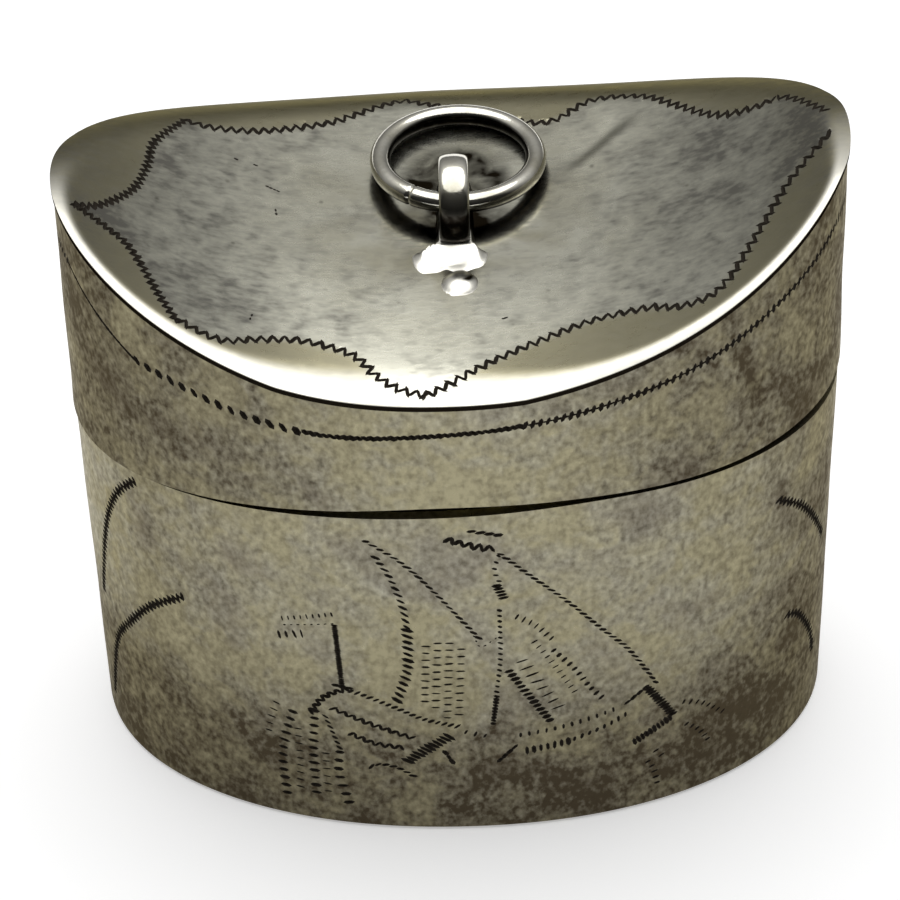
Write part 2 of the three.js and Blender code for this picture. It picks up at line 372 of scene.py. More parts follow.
def wall_silver(name, colours, ends, foot=None):
    """Tarnished upright sheet: olive, patched with mauve and brown, darker to its ends; tarnish and
    painted shade at the foot, a painted reflection at the left end.
    """
    finish = Finish(name)
    fine, middle, broad = mottling(finish, (1.0, 1.0, 0.75))
    side = finish.ramp(finish.across() / BODY_HIGH.x, *ends)
    base = side
    bare = 0.2 + broad * 2.0 + middle * 1.2
    if foot:
        # Darker towards the foot: tarnish, and painted shade where the floor's contact shadow shows in
        # the wall
        fall = ((0.0, 1.0), (0.3, 0.95), (0.46, 0.78), (0.7, 0.3), (1.0, 0.0))
        low = finish.ramp(finish.height() / foot, *fall)
        # Painted reflection: the body's left end lighter and greyer, as the metal shows its bright
        # surroundings at grazing angles
        left = finish.ramp(finish.along() / BODY_LOW.x, (0.8, 0.0), (0.97, 1.0)) * (1.0 - low)
        base = base - left * (0.4 + broad) + low * (0.42 + side * 0.35 + middle * 0.3 + broad * 0.5)
        bare = bare + left * (0.35 + middle * 1.5)
    base = finish.reckon("MINIMUM", base, 0.88)
    dark = base + fine * 1.2 + middle * 0.8 + broad * (0.7 + side * 0.8)
    # Darker along the dint on the band
    dark = finish.clamp(dark + finish.attribute("dint_dark") * 0.36)
    patch = finish.clamp((finish.noise(230.0, 5.0, warp=0.8) - 0.52) * 6.0)
    tone = finish.mix(finish.clamp(bare), colours.olive, colours.grey)
    tone = finish.mix(patch * (0.25 + side * 0.7), tone, colours.mauve)
    tone = finish.mix(dark, tone, colours.brown)
    tone = finish.mix(pits(finish) * 0.7, tone, colours.cut)
    finish.metal(tone, 0.32 + dark * 0.2 + fine * 0.25)
    finish.set("Specular Tint", (*EDGE_TINT, 1.0))
    finish.bump(fine + middle * 0.8, 0.02 * MM, 0.5)
    return finish.material


def lid_silver(name, colours):
    """The lid's face: smooth olive outside its border, grey and patchy inside, rubbed on the roll, with
    painted shade under the lip and round the eye.
    """
    finish = Finish(name)
    fine, middle, broad = mottling(finish, (0.4, 1.0, 1.0))
    field, rub, lip_shade, buff = map(finish.attribute, ("field", "rub", "lip_shade", "buff"))
    # Painted shade and painted reflection round the eye, broken up by the noise
    painted_shade = finish.clamp(finish.attribute("painted_shade") * (0.75 - broad * 2.5 - middle * 2.0))
    ends = finish.ramp(finish.across() / TOP_HIGH.x, (0.2, 0.0), (0.5, 0.4), (1.0, 0.7))
    cloud = finish.clamp((finish.noise(180.0, 5.0, warp=0.8) - 0.5) * 4.5 + 0.3)
    dark = ends + cloud * 0.32 + fine * 1.5 + middle * 1.3
    tip = finish.ramp(finish.across() / TOP_HIGH.x, (0.78, 0.0), (1.0, 1.0))
    dark = finish.clamp(dark * (0.3 + field * 0.7 + tip * 0.5))
    tone = finish.mix(0.08 + field * (0.92 - tip * 0.7), colours.olive, colours.grey)
    tone = finish.mix(finish.clamp(buff * (0.4 + broad * 5.0)), tone, colours.olive)
    tone = finish.mix(dark, tone, colours.shade)
    tone = finish.mix(pits(finish) * field * 0.9, tone, colours.cut)
    tone = finish.mix(rub, tone, colours.rubbed)
    # Painted shade under the lip and round the eye, in the cut colour
    tone = finish.mix(finish.clamp(lip_shade + painted_shade), tone, colours.cut)
    rough = (0.30 + dark * 0.15 + fine * 0.2 + rub * 0.06) * (1.0 - buff * 0.55) + lip_shade * 0.3
    finish.metal(tone, rough)
    finish.set("Specular Tint", (*LID_EDGE_TINT, 1.0))
    finish.bump(fine * field + middle * 0.4, 0.015 * MM, 0.25)
    return finish.material


def wire_silver(name, colours):
    """Handled silver wire: smooth and bright above; black below and inside, which is painted shade, with
    some tarnish on the ring.
    """
    finish = Finish(name)
    clouds = finish.ramp(finish.noise(520.0, 5.0), (0.42, 0.0), (0.72, 1.0))
    fine = finish.noise(3800.0, 4.0) - 0.5
    # Painted shade on the eye's lower part, and on the ring's inner side and underside together with
    # tarnish
    painted_shade = finish.clamp(finish.attribute("painted_shade") + fine * 0.3)
    tone = finish.mix(0.22 + clouds * 0.5, colours.rubbed, colours.olive)
    tone = finish.mix(painted_shade, tone, colours.cut)
    finish.metal(tone, 0.09 + clouds * 0.08 + fine * 0.08 + painted_shade * 0.1)
    finish.bump(fine, 0.01 * MM, 0.5)
    return finish.material


def cut_patina(name, colours):
    """Dirt in the engraved cuts: dark and dull."""
    finish = Finish(name)
    fine = finish.noise(2400.0, 3.0)
    finish.set("Base Color", finish.mix(fine * 0.3, colours.cut, colours.brown))
    finish.set("Roughness", 0.85)
    finish.set("Specular IOR Level", 0.15)
    return finish.material


def dry_sponge(name, colours):
    """Dry sponge, with painted shade darker in its pores."""
    finish = Finish(name)
    fine = finish.noise(1800.0, 6.0)
    pore_shade = finish.attribute("pore_shade")
    light = tuple(min(1.0, part * 1.25) for part in colours.sponge)
    dark = tuple(part * 0.35 for part in colours.sponge)
    tone = finish.mix(finish.clamp(pore_shade * 0.8 + (fine - 0.5) * 0.9), light, dark)
    finish.set("Base Color", tone)
    finish.set("Roughness", 0.95)
    finish.bump(fine, 0.15 * MM)
    return finish.material


# Surfaces


def stacked(x, y, z):
    """Points from their coordinates, any of which may be one number for all."""
    return np.stack(np.broadcast_arrays(x, y, z), axis=-1)


def soft_step(share):
    """0 below 0, 1 above 1, smooth between."""
    share = np.clip(share, 0, 1)
    return share * share * (3 - 2 * share)


def hump(share):
    """A bell, 1 at 0 and close to 0 beyond 2."""
    return np.exp(-share ** 2)


class Oval:
    """A squared oval, by the angle round it from the middle of the front, growing to the right."""

    def __init__(self, half_length, half_depth, power):
        self.half_length = half_length
        self.half_depth = half_depth
        self.power = power

    def inset(self, distance):
        return Oval(self.half_length - distance, self.half_depth - distance, self.power)

    def points(self, angle):
        """x and y at angles."""
        across = np.sin(angle)
        along = -np.cos(angle)
        share = 2 / self.power
        x = self.half_length * np.sign(across) * np.abs(across) ** share
        y = self.half_depth * np.sign(along) * np.abs(along) ** share
        return x, y

    def ring(self, angle, z):
        """Points at angles and one height."""
        return stacked(*self.points(angle), z)

    def scaled(self, share):
        return Oval(self.half_length * share, self.half_depth * share, self.power)

    def outward(self, angle):
        """Level outward directions at angles."""
        x, y = self.points(angle)
        steep = self.power - 1
        nx = np.sign(x) * np.abs(x / self.half_length) ** steep / self.half_length
        ny = np.sign(y) * np.abs(y / self.half_depth) ** steep / self.half_depth
        size = np.hypot(nx, ny)
        return nx / size, ny / size

    def angles_at(self, arc):
        """Angles at distances along the outline from the middle of the front."""
        angle = np.linspace(-math.pi, math.pi, 4001)
        x, y = self.points(angle)
        length = np.concatenate([[0.0], np.cumsum(np.hypot(np.diff(x), np.diff(y)))])
        middle = length[len(length) // 2]
        return np.interp(arc, length - middle, angle)


def inside_share(x, y, border, soft):
    """1 inside a closed border, 0 outside, blended over a soft distance."""
    after = np.roll(border, -1, axis=0)
    crossed = np.zeros(len(x), bool)
    near = np.full(len(x), 1e9)
    for (ax, ay), (bx, by) in zip(border, after):
        if (ax, ay) == (bx, by):
            continue
        spans = (ay > y) != (by > y)
        where = ax + (y - ay) / (by - ay if by != ay else 1e-12) * (bx - ax)
        crossed ^= spans & (x < where)
        run = (bx - ax) ** 2 + (by - ay) ** 2
        along = np.clip(((x - ax) * (bx - ax) + (y - ay) * (by - ay)) / run, 0, 1)
        near = np.minimum(near, np.hypot(x - ax - along * (bx - ax), y - ay - along * (by - ay)))
    signed = np.where(crossed, near, -near)
    return np.clip(0.5 + signed / (2 * soft), 0, 1)


def dents(points, depth, span, seed):
    """Soft hand-work dents at points, between minus and plus depth."""
    shift = Vector((seed * 7.3, seed * 3.1, seed * 5.7))
    return depth * np.array([noise.noise(Vector(p) / span + shift) for p in points])


def beside(u, v, start, end):
    """Reach of a short line in mm, fading at both its ends, and how far off it places lie."""
    run = np.subtract(end, start)
    length = np.hypot(*run)
    u = u / MM - start[0]
    v = v / MM - start[1]
    along = (u * run[0] + v * run[1]) / length ** 2
    return soft_step(along / 0.3) * soft_step((1 - along) / 0.4), (v * run[0] - u * run[1]) / length


def dint(points):
    """Depth of the narrow dint at the right of the lid's band."""
    x, y, z = points.T
    fade, off = beside(x, z, DINT_FROM, DINT_TO)
    return np.where(y < 0, DINT_DEPTH * fade * hump(off / DINT_WIDTH), 0)


class Wall:
    """An upright oval wall between two heights that may follow x and y."""

    def __init__(self, oval, low, high, taper=0.0, dent=0.0, span=1.0, seed=0):
        self.oval = oval
        self.low = low
        self.high = high
        self.taper = taper
        self.dent = dent
        self.span = span
        self.seed = seed

    def at(self, angle, share, thickness=0.0):
        """Points and level normals at angles and shares of the height."""
        angle = np.asarray(angle, float)
        share = np.broadcast_to(np.asarray(share, float), angle.shape)
        pull = self.taper * (1 - share) + thickness
        x, y = self.oval.points(angle)
        nx, ny = self.oval.outward(angle)
        x = x * (1 - pull / self.oval.half_length)
        y = y * (1 - pull / self.oval.half_depth)
        low = self.low(x, y)
        z = low + (self.high(x, y) - low) * share
        points = stacked(x, y, z)
        normals = stacked(nx, ny, 0.0)
        if self.dent and not thickness:
            fade = np.clip(np.minimum(share, 1 - share) * 8, 0, 1)
            push = dents(points, self.dent, self.span, self.seed) * fade - dint(points)
            points = points + normals * push[:, None]
        return points, normals

    def shell(self, name, rows, sheet):
        """A mesh of the wall's outside in rows, and its inside."""
        angle = around(WALL_SIDES)
        outside = [self.at(angle, share)[0] for share in np.linspace(0, 1, rows)]
        inside = [self.at(angle, share, sheet)[0] for share in np.linspace(1, 0, INSIDE_ROWS)]
        return skin(name, outside + inside)

    def along(self, arc, z):
        """Points and normals at arc lengths from the front and heights."""
        angle = self.oval.angles_at(np.asarray(arc, float))
        x, y = self.oval.points(angle)
        low = self.low(x, y)
        share = (np.asarray(z, float) - low) / (self.high(x, y) - low)
        return self.at(angle, share)


def arch(x):
    """Share of an arch over the whole length, 1 in the middle and 0 at the ends."""
    return 1 - np.minimum(1, (x / TOP_HIGH.x) ** 2)


class Seam:
    """The rim of the body, and the lid's lower edge above it, as they were filed by hand."""

    def __init__(self, shape):
        self.shape = shape
        x = np.linspace(BODY_LOW.x, BODY_HIGH.x, 2001)
        self.ends = BODY_HIGH.z - self._lean(x).max()

    def _lean(self, x):
        return self.shape.rim_arch * arch(x) + self.shape.rim_lean * x / TOP_HIGH.x

    def rim(self, x):
        swell = self.shape.rim_swell * hump((x - RIM_SWELL_AT) / RIM_SWELL_REACH)
        return self.ends + self._lean(x) + swell

    def lid(self, x):
        places, gaps = curve_through(SEAM_GAPS).T * MM
        return self.rim(x) + np.interp(x, places, gaps)


class Saddle:
    """The lid's top: its edge rises to both ends, and its face rolls down to the edge."""

    def __init__(self, shape):
        self.shape = shape
        self.oval = Oval(TOP_HIGH.x, TOP_HIGH.y, shape.oval_power)
        grid = np.linspace(-TOP_HIGH.x, TOP_HIGH.x, 2001)
        self.low = TOP_LOW.z - self._sweep(grid).min()

    def _sweep(self, x):
        reach = np.abs((x - self.shape.saddle_low) / self.oval.half_length)
        lean = self.shape.lid_lean * x / self.oval.half_length
        return self.shape.saddle_rise * reach ** self.shape.saddle_power + lean

    def edge(self, x):
        return self.low + self._sweep(np.asarray(x, float))

    def inset_of(self, x, y):
        """How far inside the outline points lie, along the family of equal insets."""
        near = np.zeros_like(x)
        far = np.full_like(x, self.oval.half_depth * 0.999)
        for _ in range(30):
            middle = (near + far) / 2
            wide = np.abs(x) / (self.oval.half_length - middle)
            deep = np.abs(y) / (self.oval.half_depth - middle)
            inside = wide ** self.oval.power + deep ** self.oval.power <= 1
            near = np.where(inside, middle, near)
            far = np.where(inside, far, middle)
        return near

    def upright(self, y):
        """Height of the lid's upright outer edge, which dwindles to the back."""
        return self.shape.brim * (0.1 + 0.9 * soft_step(0.5 - y / self.oval.half_depth))

    def roll(self, x, y):
        """Width and fall of the roll, both less at the sides of the front."""
        side = soft_step(0.6 - y / self.oval.half_depth) * (1 - hump((x - ROLL_AT) / ROLL_REACH))
        width = self.shape.roll_width * (1 - (1 - self.shape.roll_share) * side)
        return width, np.minimum(self.shape.roll_drop - self.upright(y), ROLL_SLOPE * width / 2)

    def brim(self, x, y):
        """Lower line of the lid's upright outer edge."""
        return self.face(x, y, np.zeros_like(x)) - self.upright(y)

    def face(self, x, y, inset=None):
        """Heights of the upper face."""
        inset = self.inset_of(x, y) if inset is None else inset
        width, drop = self.roll(x, y)
        out = np.clip(1 - inset / width, 0, 1)
        fall = self.shape.crown * (np.minimum(y, 0) / self.oval.half_depth) ** 2
        fall = fall * hump((x - CROWN_AT) / CROWN_REACH) * (1 - out ** 2)
        flat = self.edge(x) + self.shape.roll_drop - fall - drop * out ** 2
        fade = np.clip(inset / self.shape.roll_width - 0.2, 0, 1)
        wave = dents(stacked(x, y, 0.0), self.shape.dent, self.shape.dent_span, LID_DENTS) * fade
        room = (TOP_HIGH.z - flat - wave - self._crease(x, y)) / LID_SOFTNESS
        return TOP_HIGH.z - np.logaddexp(0, room) * LID_SOFTNESS

    @staticmethod
    def _crease(x, y):
        """A fold behind the ring on the right: a short step that fades to both sides."""
        fade, off = beside(x, y, CREASE_FROM, CREASE_TO)
        step = np.tanh(off / CREASE_WIDTH) * np.exp(-np.abs(off) / CREASE_REACH)
        return CREASE_DEPTH * step * fade

    def along(self, x, y):
        """Points and normals of the upper face at places."""
        x = np.asarray(x, float)
        y = np.asarray(y, float)
        step = 0.02 * MM
        z = self.face(x, y)
        slope_x = (self.face(x + step, y) - self.face(x - step, y)) / (2 * step)
        slope_y = (self.face(x, y + step) - self.face(x, y - step)) / (2 * step)
        normals = stacked(-slope_x, -slope_y, 1.0)
        normals /= np.linalg.norm(normals, axis=-1, keepdims=True)
        return stacked(x, y, z), normals

    def wear(self, mesh):
        """Border, rubbed roll, painted shade under the lip, buffed middle, and painted shade and
        reflection round the eye, as attributes of a mesh.
        """
        x, y, z = positions(mesh).T
        inset = self.inset_of(x, y)
        border = np.vstack([curve_through(line, 0.5) for line in LID_BORDER]) * MM
        eye = (EYE_LOW + EYE_HIGH) / 2
        store(mesh, "field", inside_share(x, y, border, BORDER_SOFTNESS))
        rolled = 1 - inset / self.roll(x, y)[0]
        top = self.face(x, y, np.zeros_like(x))
        front = soft_step(0.3 - 2 * y / self.oval.half_depth)
        store(mesh, "rub", 0.8 * soft_step((rolled - 0.1) / 0.5) * front)
        # Painted shade under the lip, at the foot of the lid's upright edge
        store(mesh, "lip_shade", (inset < LIP_SHADE_INSET) * soft_step((top - z) / LIP_SHADE_FADE))
        store(mesh, "buff", hump(np.hypot(x - eye.x, y - eye.y) / BUFF_REACH))
        # Painted shade and painted reflection round the eye: before its feet, beside them under the
        # ring, inside the ring, and on the top of the solder drop
        before = np.hypot((x - eye.x) / PAINTED_SHADE_WIDTH, (y - eye.y) / PAINTED_SHADE_LENGTH)
        close = np.hypot((x - eye.x) / PAINTED_SHADE_LENGTH, (y - eye.y) / PAINTED_SHADE_LENGTH)
        within = np.hypot((x - eye.x) / PAINTED_SHADE_WIDTH, (y - eye.y - PAINTED_SHADE_WIDTH) / PAINTED_SHADE_WIDTH)
        spot = np.hypot(x - eye.x - 0.3 * MM, y - MOUND_LOW.y - 1.2 * MM) / PAINTED_SHADE_SPOT
        painted_dark = 0.45 * soft_step((1.1 - before) / 0.4) + 0.6 * soft_step((1 - close) / 0.3)
        painted_dark = painted_dark + 0.95 * soft_step((1 - within) / 0.4) + 1.4 * soft_step((1 - spot) / 0.4)
        store(mesh, "painted_shade", painted_dark)


# Mesh making


def place(name, mesh, material=None):
    """Puts a mesh in the scene, in a material."""
    if material:
        mesh.materials.append(material)
    piece = bpy.data.objects.new(name, mesh)
    bpy.context.scene.collection.objects.link(piece)
    return piece


def settle(piece, body, slot, *nodes, crease=24):
    """Smooths a finished piece up to a crease angle; it rides on its body in place of CAD nodes."""
    piece.data.shade_smooth()
    piece.data.set_sharp_from_angle(angle=math.radians(crease))
    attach(piece, body)
    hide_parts(*nodes)


def skin(name, rings, first=None, last=None):
    """A closed skin over rings of points, joined end to end or closed by a first and a last point."""
    count = len(rings[0])
    points = [p for ring in rings for p in ring]
    closed = first is None
    faces = []
    for band in range(len(rings) if closed else len(rings) - 1):
        low = band * count
        high = (band + 1) % len(rings) * count
        for side in range(count):
            after = (side + 1) % count
            faces.append((low + side, low + after, high + after, high + side))
    if not closed:
        points += [first, last]
        start = len(points) - 2
        end = len(points) - 1
        top = (len(rings) - 1) * count
        for side in range(count):
            after = (side + 1) % count
            faces.append((start, after, side))
            faces.append((end, top + side, top + after))
    mesh = bpy.data.meshes.new(name)
    mesh.from_pydata([tuple(map(float, p)) for p in points], [], faces)
    mesh.validate()
    return mesh


def around(count):
    return np.linspace(-math.pi, math.pi, count, endpoint=False)


def plain(obj):
    """The evaluated object's mesh, with its modifiers applied."""
    graph = bpy.context.evaluated_depsgraph_get()
    mesh = bpy.data.meshes.new_from_object(obj.evaluated_get(graph))
    obj.modifiers.clear()
    return mesh


def positions(mesh):
    found = np.zeros(len(mesh.vertices) * 3, np.float32)
    mesh.vertices.foreach_get("co", found)
    return found.reshape(-1, 3).astype(float)


def store(mesh, name, values):
    layer = mesh.attributes.get(name) or mesh.attributes.new(name, "FLOAT", "POINT")
    layer.data.foreach_set("value", np.asarray(values, np.float32))


# Graver work


def curve_through(points, step=0.1):
    """Points close together on a smooth line through a few points, which keeps its first and last."""
    points = np.array(points, float)
    if len(points) == 2:
        count = max(2, int(np.linalg.norm(points[1] - points[0]) / step))
        share = np.linspace(0, 1, count)[:, None]
        return points[0] + (points[1] - points[0]) * share
    padded = np.vstack([2 * points[0] - points[1], points, 2 * points[-1] - points[-2]])
    pieces = []
    for k in range(len(points) - 1):
        a, b, c, d = padded[k:k + 4]
        count = max(2, int(np.linalg.norm(c - b) / step))
        t = np.linspace(0, 1, count, endpoint=False)[:, None]
        pieces.append(0.5 * (2 * b + (c - a) * t + (2 * a - 5 * b + 4 * c - d) * t ** 2
                             + (3 * b - a - 3 * c + d) * t ** 3))
    return np.vstack(pieces + [points[-1:]])


def stroke_tree(patina):
    """Geometry nodes that set wedge-shaped graver strokes along lines on a surface."""
    tree = bpy.data.node_groups.new("graver_strokes", "GeometryNodeTree")
    graph = Graph(tree)
    tree.interface.new_socket("Lines", in_out="INPUT", socket_type="NodeSocketGeometry")
    for name in ("Pitch", "Slant", "Lean", "Length", "Width", "Depth", "Uneven", "Zigzag", "Second"):
        tree.interface.new_socket(name, in_out="INPUT", socket_type="NodeSocketFloat")
    for name in ("Pick", "Seed"):
        tree.interface.new_socket(name, in_out="INPUT", socket_type="NodeSocketInt")
    tree.interface.new_socket("Strokes", in_out="OUTPUT", socket_type="NodeSocketGeometry")
    source = tree.nodes.new("NodeGroupInput")
    given = {s.name: Value(graph, s) for s in source.outputs if s.name}
    line = graph.node("GeometryNodeMeshToCurve", {0: given["Lines"]})
    line = graph.node("GeometryNodeResampleCurve", {"Curve": line, "Length": given["Pitch"]},
                      mode="LENGTH")
    index = graph.node("GeometryNodeInputIndex")
    normal = graph.node("GeometryNodeInputNamedAttribute", {"Name": "face_normal"},
                        data_type="FLOAT_VECTOR")
    tangent = graph.node("GeometryNodeInputTangent")
    odd = index % 2.0

    def hand(seed):
        """A share around 1 that differs from stroke to stroke."""
        sockets = {2: 1.0 - given["Uneven"], 3: 1.0 + given["Uneven"],
                   "ID": index, "Seed": given["Seed"] + float(seed)}
        return graph.node("FunctionNodeRandomValue", sockets, 1, data_type="FLOAT")

    side = 1.0 - given["Zigzag"] * odd * 2.0
    angle = given["Slant"] * side + given["Lean"] + (hand(1) - 1.0) * 0.5
    lead = graph.node("ShaderNodeVectorRotate", {"Vector": tangent, "Axis": normal, "Angle": angle},
                      rotation_type="AXIS_ANGLE")
    turn = graph.node("FunctionNodeAxesToRotation", {"Primary Axis": normal, "Secondary Axis": lead},
                      primary_axis="Z", secondary_axis="X")
    weight = 1.0 - (1.0 - given["Second"]) * odd
    size = graph.node("ShaderNodeCombineXYZ", {
        0: given["Length"] * 0.5 * (0.4 + hand(2) * 0.6),
        1: given["Width"] * 0.5 * hand(3) * weight,
        2: given["Depth"] * hand(4) * weight,
    })
    wedge = graph.node("GeometryNodeMeshUVSphere", {0: 6, 1: 2, 2: 1.0})
    picked = graph.node("FunctionNodeCompare", {2: odd, 3: given["Pick"]},
                        data_type="INT", operation="EQUAL")
    strokes = graph.node("GeometryNodeInstanceOnPoints", {
        "Points": line, "Selection": picked, "Instance": wedge, "Rotation": turn, "Scale": size})
    strokes = graph.node("GeometryNodeRealizeInstances", {0: strokes})
    strokes = graph.node("GeometryNodeSetMaterial", {0: strokes, "Material": patina})
    sink = tree.nodes.new("NodeGroupOutput")
    graph.fill(sink.inputs[0], strokes)
    return tree


class Stroke(NamedTuple):
    """One kind of graver stroke: lengths in millimetres, its angle to the line in degrees."""

    pitch: float
    slant: float
    length: float
    width: float
    zigzag: float = 0.0
    second: float = 1.0
    lean: float = 0.0


class Graver:
    """Cuts lines of strokes into a mesh."""

    def __init__(self, cut, patina):
        self.cut = cut
        self.tree = stroke_tree(patina)
        self.names = {s.name: s.identifier for s in self.tree.interface.items_tree
                      if s.item_type == "SOCKET" and s.in_out == "INPUT"}

    def line(self, points, normals):
        """An object of edges along a path, with the surface's normals."""
        mesh = bpy.data.meshes.new("graver_line")
        edges = [(k, k + 1) for k in range(len(points) - 1)]
        mesh.from_pydata([tuple(p) for p in points], edges, [])
        layer = mesh.attributes.new("face_normal", "FLOAT_VECTOR", "POINT")
        layer.data.foreach_set("vector", np.array(normals, np.float32).ravel())
        return place("graver_line", mesh)

    def strokes(self, path, stroke, pick, seed):
        """A mesh of every second stroke along a path."""
        obj = self.line(*path)
        modifier = obj.modifiers.new("strokes", "NODES")
        modifier.node_group = self.tree
        width = stroke.width * MM * self.cut.weight
        settings = {
            "Pitch": stroke.pitch * MM, "Slant": math.radians(stroke.slant),
            "Length": stroke.length * MM, "Width": width, "Depth": width * self.cut.depth,
            "Uneven": self.cut.uneven, "Zigzag": stroke.zigzag, "Second": stroke.second,
            "Lean": math.radians(stroke.lean), "Pick": pick, "Seed": seed,
        }
        for key, content in settings.items():
            modifier[self.names[key]] = content
        mesh = plain(obj)
        bpy.data.objects.remove(obj)
        return mesh

    def engrave(self, piece, path, stroke, seed):
        """Cuts the strokes along a path into a piece."""
        for pick in (0, 1):
            mesh = self.strokes(path, stroke, pick, seed + pick * 11)
            if not mesh.polygons:
                continue
            tool = place("graver_tool", mesh)
            modifier = piece.modifiers.new("cut", "BOOLEAN")
            modifier.operation = "DIFFERENCE"
            modifier.solver = "MANIFOLD"
            modifier.material_mode = "TRANSFER"
            modifier.object = tool
            piece.data = plain(piece)
            bpy.data.objects.remove(tool)


# Engraved lines: on the walls, distance from the front's middle and height; on the lid, x and y

LID_BORDER = (
    ((-16.8, -2.1), (-15.8, -1.5), (-14.4, 0.4), (-13.8, 2.5), (-13.5, 4.4), (-12.2, 6.7)),
    ((-12.2, 6.7), (-11.1, 6.5), (-8.9, 6.8), (-6.7, 7.5), (-5.2, 8.1), (-2.4, 9.7), (-1.1, 9.4),
     (1.0, 8.7), (4.4, 7.3), (6.7, 8.4), (9.0, 7.9), (10.4, 6.6), (12.3, 4.7), (14.0, 4.1),
     (15.4, 3.9), (17.0, 1.6)),
    ((17.0, -0.3), (15.2, -2.1), (14.1, -3.8), (12.3, -6.8)),
    ((12.3, -6.8), (11.4, -7.6), (10.0, -7.7), (8.6, -7.2), (6.5, -7.2), (4.7, -7.7), (2.0, -8.9),
     (-0.7, -10.5), (-1.4, -10.8)),
    ((-1.4, -10.8), (-2.5, -10.4), (-3.5, -9.6), (-4.6, -8.3), (-6.7, -7.6), (-8.6, -7.8),
     (-10.4, -8.3), (-12.3, -7.6)),
    ((-12.3, -7.6), (-13.0, -6.4), (-14.3, -3.8), (-15.3, -2.9), (-16.8, -2.1)),
)
SAW = Stroke(0.26, 58, 0.7, 0.2, 1.0, 1.0, -6)
COMB = Stroke(0.18, 64, 0.64, 0.21, 1.0, 1.0, -6)
HOOKS = Stroke(0.28, 54, 0.76, 0.23, 1.0, 1.0, -16)
NICK = Stroke(0.16, 0, 0.22, 0.12)
GROOVE = Stroke(0.25, 6, 0.42, 0.2)
BEADS = Stroke(0.6, -50, 0.64, 0.34)
CLOSE_BEADS = Stroke(0.3, -28, 0.48, 0.28)
BAND_TICKS = Stroke(0.34, 66, 0.54, 0.22)
BAND_CORE = Stroke(0.3, 5, 0.42, 0.13)
SWAG = Stroke(0.17, 66, 0.64, 0.22, 1.0)
ROPE = Stroke(0.38, 26, 0.48, 0.17)
TEETH = Stroke(0.21, 56, 0.5, 0.2, 1.0)
BOLD = Stroke(0.21, 78, 0.58, 0.25)
RUNGS = Stroke(0.5, 90, 0.56, 0.26)
THIN_RUNGS = Stroke(0.48, 90, 0.46, 0.12)
HATCH = Stroke(0.44, 92, 0.46, 0.13)
TICKS = Stroke(0.38, 84, 0.38, 0.15)
FINE_TICKS = Stroke(0.3, 84, 0.36, 0.1)
TALL_TICKS = Stroke(0.34, 88, 0.55, 0.14)
SPECKS = Stroke(0.3, 10, 0.16, 0.09)
BOLD_DASH = Stroke(0.3, 4, 0.5, 0.24)
MAST = Stroke(0.34, 62, 0.3, 0.17)
LID_STROKES = (COMB, SAW, HOOKS, SAW, SAW, COMB)
LID_NICKS = (
    ((-9.86, 4.49), (-9.82, 4.47)),
    ((-8.97, 4.26), (-8.93, 4.24)),
    ((-8.4, 2.8), (-7.9, 2.55)),
    ((-8.0, 1.15), (-7.97, 0.9)),
    ((-9.07, -6.55), (-9.0, -6.3)),
    ((2.2, -6.35), (2.3, -6.32)),
)
BAND_RIGHT = ((3.0, 1.27), (7.5, 1.25), (12.1, 1.55), (19.6, 1.8))
BAND_CUTS = (
    (GROOVE, ((-20.0, 1.72), (-18.2, 2.08), (-16.2, 2.5), (-15.3, 2.7))),
    (BEADS, ((-15.1, 2.68), (-12.3, 2.25), (-7.2, 2.05))),
    (CLOSE_BEADS, ((-6.8, 2.0), (-5.7, 1.95), (-1.1, 1.55), (2.8, 1.28))),
    (BAND_TICKS, BAND_RIGHT),
    (BAND_CORE, BAND_RIGHT),
    (BAND_TICKS, ((19.9, 1.82), (24.0, 2.2), (34.0, 1.9), (46.6, 1.6))),
    (BAND_TICKS, ((-46.6, 1.6), (-34.0, 1.9), (-24.0, 2.0), (-20.2, 1.72))),
)
